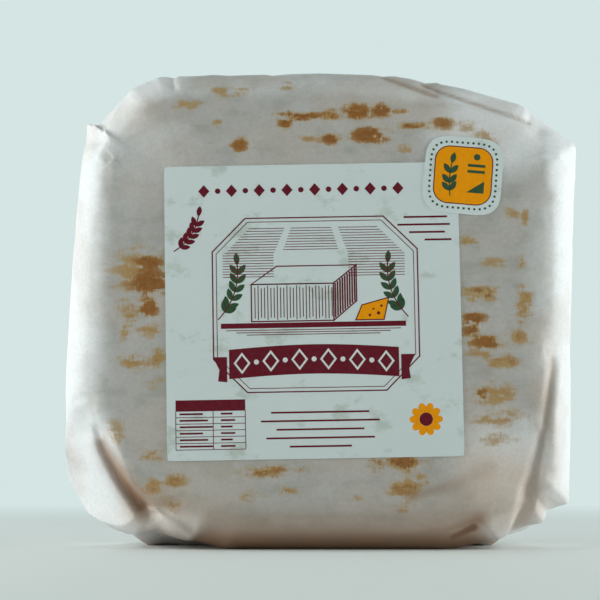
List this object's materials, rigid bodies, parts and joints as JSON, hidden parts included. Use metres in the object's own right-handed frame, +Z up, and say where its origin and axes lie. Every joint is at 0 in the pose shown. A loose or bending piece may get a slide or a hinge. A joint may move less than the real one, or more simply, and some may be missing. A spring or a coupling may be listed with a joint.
{
  "type": "whole mahon cheese wrapped in greaseproof paper",
  "caption": "Whole aged Mahon cheese, a rounded square slab shut in oil-stained greaseproof paper, with a square paper label and a small seal, standing on its side.",
  "frame": {"origin": "on the surface that the cheese stands on, under the middle of its bounding box", "axes": "+Z up, the labelled face towards -Y, +X to the right of someone who looks at the label"},
  "size_m": [0.205, 0.087, 0.1904],
  "materials": {
    "greaseproof_paper": "thin white greaseproof paper with a faint sheen, grey where it is pressed on the cheese, with brown oil stains",
    "label_paper": "smooth white label paper with a plain maroon print and faint oil marks",
    "seal_paper": "semi-gloss sticker, an orange field in a white border"
  },
  "bodies": {
    "root": {"wrapped_cheese": "greaseproof_paper", "label": "label_paper", "seal_sticker": "seal_paper"}
  },
  "joints": []
}
